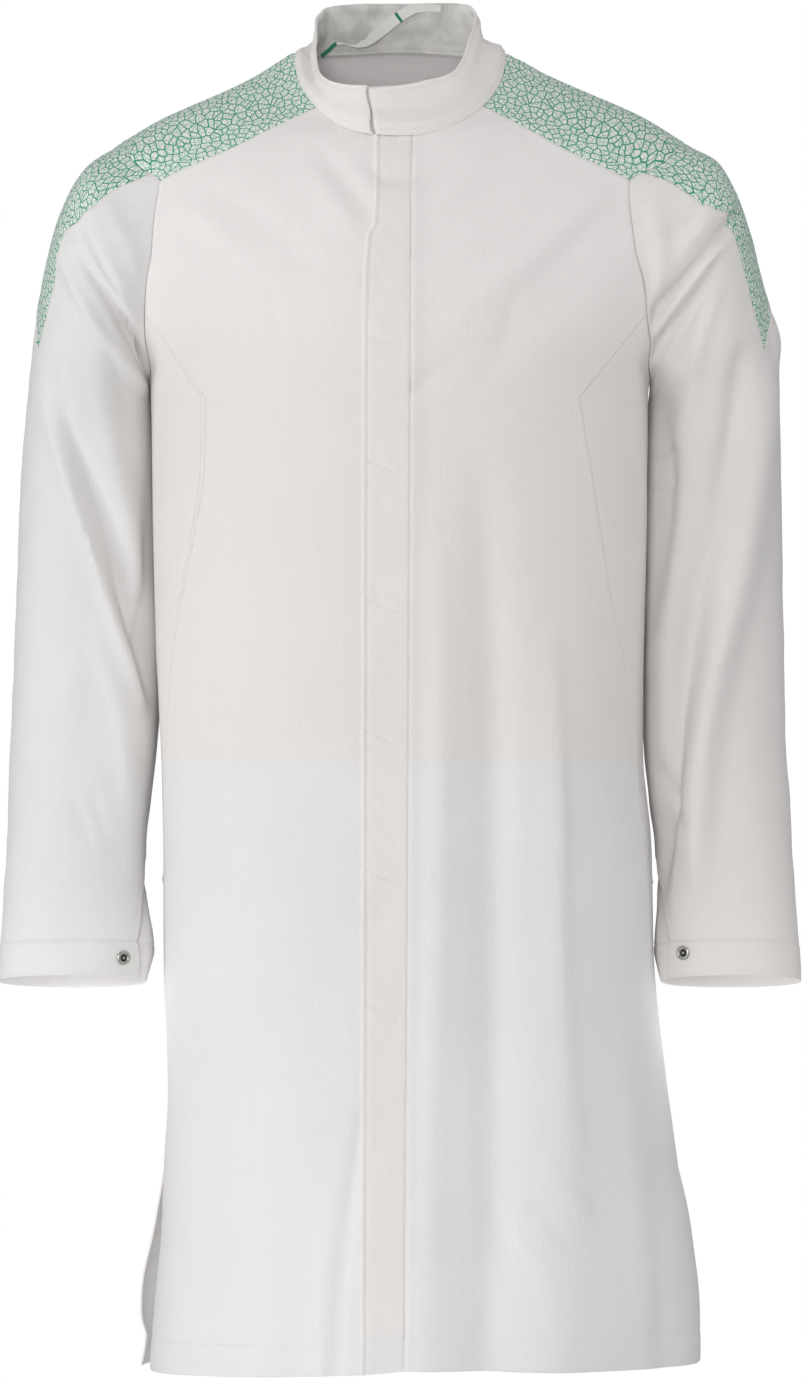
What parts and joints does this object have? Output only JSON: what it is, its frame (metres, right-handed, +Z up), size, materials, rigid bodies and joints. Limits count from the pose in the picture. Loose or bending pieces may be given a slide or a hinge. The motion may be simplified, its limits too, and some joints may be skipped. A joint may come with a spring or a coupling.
{
  "type": "work coat",
  "caption": "Knee-length long-sleeved work coat with a standing collar, covered front closing, printed shoulder yokes and side vents, in its hollow worn form.",
  "frame": {"origin": "between the wearer's shoulders at the height of the side of the neck, where the body in the coat carries it", "axes": "+Z up, -Y the front of the coat, +X the wearer's left"},
  "size_m": [0.6696, 0.2946, 1.1528],
  "materials": {
    "white_cloth": "matte white woven work cloth",
    "printed_cloth": "white cloth printed with a fine green crackle net",
    "tape": "narrow woven cotton tape",
    "nickel": "nickel-plated ring snap"
  },
  "bodies": {
    "root": {"back": "white_cloth", "collar": "white_cloth", "cuff_left": "white_cloth", "cuff_right": "white_cloth", "front_left": "white_cloth", "front_right": "white_cloth", "hanger_loop": "tape", "insert_left": "printed_cloth", "insert_right": "printed_cloth", "placket": "white_cloth", "side_left": "white_cloth", "side_right": "white_cloth", "sleeve_left": "white_cloth", "sleeve_right": "white_cloth", "snap_left": "nickel", "snap_right": "nickel", "yoke_left": "printed_cloth", "yoke_right": "printed_cloth"}
  },
  "joints": []
}
